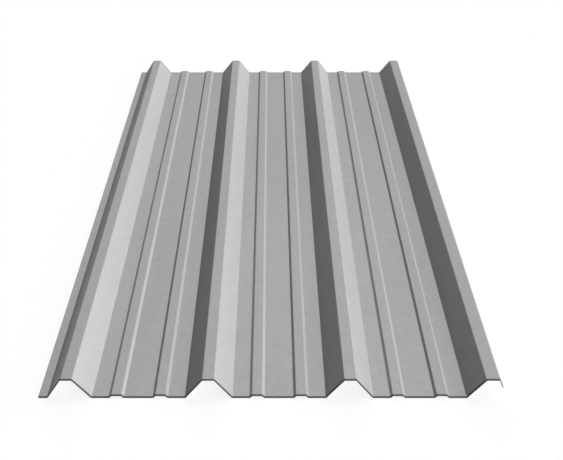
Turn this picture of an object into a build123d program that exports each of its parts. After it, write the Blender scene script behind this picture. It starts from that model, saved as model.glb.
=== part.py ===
"""A ribbed steel sheet for roofs and walls: one strip of flat steel, roll-formed along its whole length.

Four deep trapezoidal ribs stand between three flat pans, and each pan carries two low stiffening ribs.
The left rib is the underlap: its outer wall is steeper, so that the next sheet nests over it, and a flat
bearing leg carries it on the purlin. The right rib is the overlap: its crown is a little wider and, in place of
the outer wall, it has a short lip that presses on the neighbour's rib.

X runs across the ribs, Y along them and Z up. The origin is in the middle of the face that the sheet
lies on. Sizes are in millimetres, and the section is drawn along the middle of the steel's thickness.
"""

import os
from math import atan2, cos

from build123d import *

# The sheet
length = 1500.0
thickness = 1.5

# Deep ribs
rib_count = 4
rib_pitch = 240.0
rib_depth = 38.0
rib_crown = 20.0
rib_wall_run = 30.0
rib_bend = 1.5

# Low stiffening ribs in each pan
stiffeners_per_pan = 2
stiffener_pitch = 75.0
stiffener_depth = 4.3
stiffener_crown = 17.0
stiffener_wall_run = 4.0
stiffener_bend = 1.5

# Side laps
underlap_wall_run = 25.0
bearing_leg = 15.5
overlap_crown = 22.5
lip_run = 6.2
lip_drop = 15.5

# Heights of the middle line, with the pans' lower face at zero
pan_height = thickness / 2
crown_height = pan_height + rib_depth
stiffener_height = pan_height + stiffener_depth

# Ribs' and pans' centre lines, counted from the middle of the four ribs
rib_centres = [(i - (rib_count - 1) / 2) * rib_pitch for i in range(rib_count)]
pan_centres = [centre + rib_pitch / 2 for centre in rib_centres[:-1]]
stiffener_offsets = [
    (i - (stiffeners_per_pan - 1) / 2) * stiffener_pitch for i in range(stiffeners_per_pan)
]

# Bend radii of the middle line
rib_radius = rib_bend + thickness / 2
stiffener_radius = stiffener_bend + thickness / 2


def crown_and_walls(centre, crown, height, left_run, right_run):
    """The four bend points of one rib: foot, crown, crown, foot, from left to right."""
    left = centre - crown / 2
    right = centre + crown / 2
    return [
        (left - left_run, pan_height),
        (left, height),
        (right, height),
        (right + right_run, pan_height),
    ]


# The middle line, from the tip of the bearing leg to the end of the overlap's lip
leg_tip = rib_centres[0] - rib_crown / 2 - underlap_wall_run - bearing_leg
crown_end = rib_centres[-1] - rib_crown / 2 + overlap_crown
lip_end = crown_end + lip_run

bends = []
for number, centre in enumerate(rib_centres):
    left_run = underlap_wall_run if number == 0 else rib_wall_run
    rib = crown_and_walls(centre, rib_crown, crown_height, left_run, rib_wall_run)
    if number == rib_count - 1:
        rib = rib[:2] + [(crown_end, crown_height)]
    bends += [(point, rib_radius) for point in rib]
    if number < rib_count - 1:
        for offset_from_pan in stiffener_offsets:
            stiffener = crown_and_walls(
                pan_centres[number] + offset_from_pan,
                stiffener_crown,
                stiffener_height,
                stiffener_wall_run,
                stiffener_wall_run,
            )
            bends += [(point, stiffener_radius) for point in stiffener]

middle_line = [(leg_tip, pan_height)]
middle_line += [point for point, radius in bends]
middle_line += [(lip_end, crown_height - lip_drop)]
radii = [radius for point, radius in bends]

# The sheet's own middle, half way between the leg's tip and the lip's outer corner
lip_lean = atan2(lip_run, lip_drop)
lip_outside = lip_end + thickness / 2 * cos(lip_lean)
middle = (leg_tip + lip_outside) / 2
far_end = Plane(origin=(-middle, length / 2, 0), x_dir=(1, 0, 0), z_dir=(0, -1, 0))

# One strip, bent to the section and as long as the sheet
with BuildPart() as corrugated_sheet:
    with BuildSketch(far_end):
        with BuildLine():
            FilletPolyline(*middle_line, radius=radii)
        trace(line_width=thickness)
    extrude(amount=length)

corrugated_sheet.part.label = "corrugated_sheet"

os.makedirs("parts", exist_ok=True)
export_step(corrugated_sheet.part, "parts/corrugated_sheet.step")
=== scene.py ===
"""A roll-formed steel sheet, zinc-coated, lying on a pale studio floor and seen from above its near end.

Everything is in metres. X runs across the ribs, Y along them and Z up, with the sheet's lowest face at zero.
"""

from math import radians, sin

import bpy
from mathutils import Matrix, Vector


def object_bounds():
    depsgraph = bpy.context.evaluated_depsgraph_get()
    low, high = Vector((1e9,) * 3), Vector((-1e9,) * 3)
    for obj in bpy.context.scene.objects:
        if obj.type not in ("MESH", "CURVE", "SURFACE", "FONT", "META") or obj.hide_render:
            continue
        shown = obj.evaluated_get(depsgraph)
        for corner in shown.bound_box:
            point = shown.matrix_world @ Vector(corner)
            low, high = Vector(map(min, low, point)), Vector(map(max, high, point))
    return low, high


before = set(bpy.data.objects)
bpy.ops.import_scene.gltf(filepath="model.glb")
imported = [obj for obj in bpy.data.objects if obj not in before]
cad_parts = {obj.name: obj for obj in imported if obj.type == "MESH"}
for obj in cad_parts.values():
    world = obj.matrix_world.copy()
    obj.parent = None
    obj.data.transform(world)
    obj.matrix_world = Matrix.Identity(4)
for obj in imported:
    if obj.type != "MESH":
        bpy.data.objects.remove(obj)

cad_low, cad_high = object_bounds()

# Camera: the photograph's width, vanishing point and focal length in pixels, then where they put the camera
PHOTO_WIDTH = 563
FOCAL_PIXELS = 937.7
VANISHING_X = 270.34
SENSOR_MM = 36.0
LOOK_DOWN_DEG = 30.87
CAMERA_RIGHT = 0.0006
CAMERA_BEFORE_END = 1.2244
CAMERA_ABOVE_FLOOR = 1.0656

# Lamps: name, strength, azimuth, elevation and spread in degrees, and whether the lamp casts shadows.
# Azimuth 0 is behind the sheet, 90 to its right. The photograph's flats and walls are lit evenly, with no
# shadow across them, so the two broad lamps and the top one cast none. The last two keep the soft shadows.
LAMPS = (
    ("key", 5.1, 90, 26, 80, False),
    ("low_behind_right", 0.5, 30, 25, 80, False),
    ("top", 0.44, 0, 60, 30, False),
    ("back", 0.24, 0, 25, 30, True),
    ("back_left", 0.12, 330, 40, 30, True),
)

# Light from all round, and the white backdrop: metal mirrors all of it below BACKDROP_TOP degrees above the
# horizon, and none of it over CEILING_FROM degrees
STUDIO_LIGHT = 0.02
BACKDROP_WHITE = 1.0
BACKDROP_TOP = 6
CEILING_FROM = 14

# Floor: how far it reaches, how little it lies below the sheet, its grey as a light on the sheet, and how
# much of the white that the camera sees is its own glow
FLOOR_REACH = 30.0
FLOOR_DROP = 0.00005
FLOOR_COLOUR = 0.3
FLOOR_GLOW = 0.5

# Zinc coating: its grey, its share of metal, its gloss and its roughness
ZINC_GREY = 0.375
ZINC_METAL = 0.45
ZINC_SPECULAR = 0.25
ZINC_EDGE = 0.3
ZINC_ROUGHNESS = 0.5

# Sizes of what shows in the zinc: crystals, streaks from the rolls, shallow waves and clouds of grey
SPANGLE_SIZE = 0.008
SPANGLE_WOBBLE = 0.0035
SPANGLE_TILT = 0.015
STREAK_WIDTH = 0.0016
STREAK_LENGTH = 0.25
STREAK_HEIGHT = 0.000004
WAVE_ACROSS = 0.11
WAVE_ALONG = 0.5
WAVE_HEIGHT = 0.00015
CLOUD_ACROSS = 0.16
CLOUD_ALONG = 0.6

# How far each of them moves the grey, as a share of it, and the roughness
CRYSTAL_GREY = 0.02
STREAK_GREY = 0.012
CLOUD_GREY = 0.012
BEND_GREY = 0.03
CRYSTAL_ROUGHNESS = 0.03
STREAK_ROUGHNESS = -0.015
CLOUD_ROUGHNESS = -0.02
BEND_ROUGHNESS = -0.06

# Noise: how fine its detail is, and the low and high values that it mostly keeps between
COARSE = 0.0
MEDIUM = 2.0
FINE = 3.0
STREAK_RANGE = (0.25, 0.75)
NOISE_RANGE = (0.3, 0.7)

# How far a surface leans to the side, from 0 to 1, where a bend begins and where it has become a wall
FLAT_TO_BEND = (0.06, 0.2)
BEND_TO_WALL = (0.6, 0.7)

# Bare steel where the sheet was sheared to length and slit to width, with a ragged edge on the zinc
# The dark grey and the wide strip at the sheared ends are also painted shade, thickening the shaded cut face
BARE_STEEL_AND_PAINTED_SHADE_GREY = 0.1
BARE_ROUGHNESS = 0.62
END_STRIP = 0.0042
SIDE_STRIP = 0.0007
STRIP_CORE = 0.6
RAGGED_SCALE = 600.0
RAGGED_REACH = (0.88, 1.08)
CUT_FACE_LEAN = (0.5, 0.9)


def grey_colour(level):
    return (level, level, level, 1)


def in_scene(thing):
    bpy.context.scene.collection.objects.link(thing)
    return thing


def make_camera():
    data = bpy.data.cameras.new("camera")
    data.sensor_width = SENSOR_MM
    data.lens = SENSOR_MM * FOCAL_PIXELS / PHOTO_WIDTH
    data.shift_x = (PHOTO_WIDTH / 2 - VANISHING_X) / PHOTO_WIDTH
    camera = in_scene(bpy.data.objects.new("camera", data))
    camera.location = (CAMERA_RIGHT, cad_low.y - CAMERA_BEFORE_END, CAMERA_ABOVE_FLOOR)
    camera.rotation_euler = (radians(90 - LOOK_DOWN_DEG), 0, 0)
    bpy.context.scene.camera = camera


def make_lamp(name, strength, azimuth, elevation, spread, shadow):
    """A broad lamp so far off that it lights the near and the far end alike."""
    data = bpy.data.lights.new(name, "SUN")
    data.use_shadow = shadow
    data.energy = strength
    data.angle = radians(spread)
    lamp = in_scene(bpy.data.objects.new(name, data))
    lamp.rotation_euler = (radians(90 - elevation), 0, radians(180 - azimuth))


class Tree:
    """Short ways to add nodes to a node tree and join them."""

    def __init__(self, owner):
        owner.use_nodes = True
        self.nodes = owner.node_tree.nodes
        self.links = owner.node_tree.links
        self.nodes.clear()

    def add(self, kind, settings=None, **inputs):
        """A node with its settings, and its inputs by name, each a constant or another node's socket."""
        node = self.nodes.new(kind)
        for key, value in (settings or {}).items():
            setattr(node, key, value)
        for key, value in inputs.items():
            socket = node.inputs[key.replace("_", " ")]
            self.feed(socket, value)
        return node

    def feed(self, socket, value):
        if isinstance(value, bpy.types.NodeSocket):
            self.links.new(value, socket)
        else:
            socket.default_value = value

    def math(self, operation, *values):
        """The result of a Math node."""
        node = self.nodes.new("ShaderNodeMath")
        node.operation = operation
        for socket, value in zip(node.inputs, values):
            self.feed(socket, value)
        return node.outputs[0]

    def total(self, first, *others):
        """The sum of several values."""
        for value in others:
            first = self.math("ADD", first, value)
        return first

    def blend(self, share, first, second):
        """A value that goes from the first to the second as the share goes from 0 to 1."""
        node = self.nodes.new("ShaderNodeMapRange")
        self.feed(node.inputs["Value"], share)
        self.feed(node.inputs["To Min"], first)
        self.feed(node.inputs["To Max"], second)
        return node.outputs["Result"]

    def vector(self, operation, first, second):
        """The result of a Vector Math node, a vector or, for a dot product, a number."""
        node = self.nodes.new("ShaderNodeVectorMath")
        node.operation = operation
        self.feed(node.inputs[0], first)
        self.feed(node.inputs[1], second)
        return node.outputs["Value" if operation == "DOT_PRODUCT" else "Vector"]

    def axis(self, vector, name):
        """One of a vector's three numbers."""
        return self.add("ShaderNodeSeparateXYZ", Vector=vector).outputs[name]

    def ramp(self, value, low, high, to_low=0.0, to_high=1.0):
        """A value that rises smoothly from one level to another as it goes from low to high."""
        node = self.add(
            "ShaderNodeMapRange",
            {"interpolation_type": "SMOOTHSTEP"},
            Value=value,
            From_Min=low,
            From_Max=high,
            To_Min=to_low,
            To_Max=to_high,
        )
        return node.outputs["Result"]

    def sway(self, value, usual_range, reach):
        """A value that sways about zero, by up to the reach either way, as noise goes through its range."""
        return self.ramp(value, *usual_range, -reach, reach)

    def mix(self, share, first, second):
        """A mix of two shaders, with the second one's share."""
        node = self.add("ShaderNodeMixShader", Fac=share)
        self.links.new(first.outputs[0], node.inputs[1])
        self.links.new(second.outputs[0], node.inputs[2])
        return node

    def output(self, kind, shader):
        self.add(kind, Surface=shader.outputs[0])


def seen_rays(tree):
    """Whether a ray comes from the camera, and whether a glossy or clear surface sent it on, as 1 or 0."""
    path = tree.add("ShaderNodeLightPath").outputs
    return path["Is Camera Ray"], tree.math("MAXIMUM", path["Is Glossy Ray"], path["Is Transmission Ray"])


def make_world():
    """A dim even light. The camera sees white, and metal mirrors a white backdrop round the horizon."""
    world = bpy.data.worlds.new("studio")
    bpy.context.scene.world = world
    tree = Tree(world)
    camera, mirrored = seen_rays(tree)
    direction = tree.add("ShaderNodeTexCoord").outputs["Generated"]
    rise = tree.axis(direction, "Z")
    low = tree.ramp(rise, sin(radians(BACKDROP_TOP)), sin(radians(CEILING_FROM)), 1.0, 0.0)
    share = tree.math("MAXIMUM", camera, tree.math("MULTIPLY", mirrored, low))
    light = tree.add("ShaderNodeBackground", Color=grey_colour(1), Strength=STUDIO_LIGHT)
    backdrop = tree.add("ShaderNodeBackground", Color=grey_colour(1), Strength=BACKDROP_WHITE)
    tree.output("ShaderNodeOutputWorld", tree.mix(share, light, backdrop))


def make_floor():
    """A pale floor. The camera sees it as white, with the sheet's shadow kept as a soft grey."""
    mesh = bpy.data.meshes.new("floor")
    far = FLOOR_REACH
    mesh.from_pydata([(-far, -far, 0), (far, -far, 0), (far, far, 0), (-far, far, 0)], [], [(0, 1, 2, 3)])
    floor = in_scene(bpy.data.objects.new("floor", mesh))
    floor.location.z = cad_low.z - FLOOR_DROP
    material = bpy.data.materials.new("studio_floor")
    tree = Tree(material)
    pale = tree.add("ShaderNodeBsdfDiffuse", Color=grey_colour(FLOOR_COLOUR))
    white = tree.add("ShaderNodeBsdfDiffuse", Color=grey_colour(1))
    glow = tree.add("ShaderNodeEmission", Strength=BACKDROP_WHITE)
    seen = tree.mix(FLOOR_GLOW, white, glow)
    share = tree.math("MAXIMUM", *seen_rays(tree))
    tree.output("ShaderNodeOutputMaterial", tree.mix(share, pale, seen))
    mesh.materials.append(material)


def spangle(tree, at):
    """The zinc's crystals, with wandering edges: each one's shade, its shine and the height of its tilt."""
    wander = tree.add("ShaderNodeTexNoise", Vector=at, Scale=1 / SPANGLE_SIZE, Detail=FINE)
    centred = tree.vector("SUBTRACT", wander.outputs["Color"], (0.5, 0.5, 0.5))
    wandered = tree.vector("ADD", at, tree.vector("MULTIPLY", centred, (SPANGLE_WOBBLE,) * 3))
    crystals = tree.add("ShaderNodeTexVoronoi", Vector=wandered, Scale=1 / SPANGLE_SIZE)
    one = tree.add("ShaderNodeSeparateColor", Color=crystals.outputs["Color"])
    lean = tree.vector("SUBTRACT", crystals.outputs["Color"], (0.5, 0.5, 0.5))
    from_middle = tree.vector("SUBTRACT", wandered, crystals.outputs["Position"])
    tilt = tree.math("MULTIPLY", tree.vector("DOT_PRODUCT", from_middle, lean), SPANGLE_TILT)
    return one.outputs["Red"], one.outputs["Green"], tilt


def stretched_noise(tree, at, across, along, detail):
    """Smooth noise from 0 to 1, in patches that are drawn out along the sheet."""
    drawn = tree.vector("MULTIPLY", at, (1 / across, 1 / along, 1 / across))
    return tree.add("ShaderNodeTexNoise", Vector=drawn, Scale=1.0, Detail=detail).outputs["Fac"]


def bend_share(tree, normal):
    """One in the bends, which the rolls have polished, and zero on the flats and the walls."""
    lean = tree.math("ABSOLUTE", tree.axis(normal, "X"))
    from_flat = tree.ramp(lean, *FLAT_TO_BEND)
    to_wall = tree.ramp(lean, *BEND_TO_WALL, 1.0, 0.0)
    return tree.math("MULTIPLY", from_flat, to_wall)


def bare_steel_and_painted_shade_share(tree, at, normal):
    """One on bare steel and its painted shade: the sheared ends, the slit edges and a ragged strip beside
    them.
    """
    noise = tree.add("ShaderNodeTexNoise", Vector=at, Scale=RAGGED_SCALE, Detail=FINE).outputs["Fac"]
    ragged = tree.ramp(noise, *NOISE_RANGE, *RAGGED_REACH)
    share = tree.ramp(tree.math("ABSOLUTE", tree.axis(normal, "Y")), *CUT_FACE_LEAN)
    # The strip along the sheared ends is widened past bare steel as painted shade for the shaded cut face
    for edge, axis, strip in ((cad_high.y, "Y", END_STRIP), (cad_high.x, "X", SIDE_STRIP)):
        distance = tree.math("SUBTRACT", edge, tree.math("ABSOLUTE", tree.axis(at, axis)))
        beside = tree.ramp(tree.math("DIVIDE", distance, ragged), strip * STRIP_CORE, strip, 1.0, 0.0)
        share = tree.math("MAXIMUM", share, beside)
    return share


def zinc_coated_steel():
    """Satin zinc on rolled steel: a faint spangle, fine rolling streaks, polished bends, and bare edges
    darkened with painted shade.
    """
    material = bpy.data.materials.new("zinc_coated_steel")
    tree = Tree(material)
    place = tree.add("ShaderNodeTexCoord")
    at, normal = place.outputs["Object"], place.outputs["Normal"]
    crystal, crystal_shine, tilt = spangle(tree, at)
    streak = stretched_noise(tree, at, STREAK_WIDTH, STREAK_LENGTH, MEDIUM)
    cloud = stretched_noise(tree, at, CLOUD_ACROSS, CLOUD_ALONG, FINE)
    wave = stretched_noise(tree, at, WAVE_ACROSS, WAVE_ALONG, COARSE)
    bend = bend_share(tree, normal)
    bare_and_painted_shade = bare_steel_and_painted_shade_share(tree, at, normal)

    grey = tree.total(
        ZINC_GREY,
        tree.sway(crystal, (0.0, 1.0), CRYSTAL_GREY * ZINC_GREY),
        tree.sway(streak, STREAK_RANGE, STREAK_GREY * ZINC_GREY),
        tree.sway(cloud, NOISE_RANGE, CLOUD_GREY * ZINC_GREY),
        tree.math("MULTIPLY", bend, BEND_GREY * ZINC_GREY),
    )
    roughness = tree.total(
        ZINC_ROUGHNESS,
        tree.sway(crystal_shine, (0.0, 1.0), CRYSTAL_ROUGHNESS),
        tree.sway(streak, STREAK_RANGE, STREAK_ROUGHNESS),
        tree.sway(cloud, NOISE_RANGE, CLOUD_ROUGHNESS),
        tree.math("MULTIPLY", bend, BEND_ROUGHNESS),
    )
    height = tree.total(
        tilt,
        tree.math("MULTIPLY", streak, STREAK_HEIGHT),
        tree.math("MULTIPLY", wave, WAVE_HEIGHT),
    )
    bump = tree.add("ShaderNodeBump", Strength=1.0, Distance=1.0, Height=height)
    shader = tree.add(
        "ShaderNodeBsdfPrincipled",
        # The bare edges' dark grey is partly painted shade for the shaded cut faces
        Base_Color=tree.blend(bare_and_painted_shade, grey, BARE_STEEL_AND_PAINTED_SHADE_GREY),
        Metallic=ZINC_METAL,
        Specular_IOR_Level=ZINC_SPECULAR,
        Specular_Tint=grey_colour(ZINC_EDGE),
        Roughness=tree.blend(bare_and_painted_shade, roughness, BARE_ROUGHNESS),
        Normal=bump.outputs["Normal"],
    )
    tree.output("ShaderNodeOutputMaterial", shader)
    return material


bpy.context.scene.view_settings.view_transform = "Standard"
make_camera()
make_world()
for lamp in LAMPS:
    make_lamp(*lamp)
make_floor()

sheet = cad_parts["corrugated_sheet"]
sheet.data.materials.clear()
sheet.data.materials.append(zinc_coated_steel())
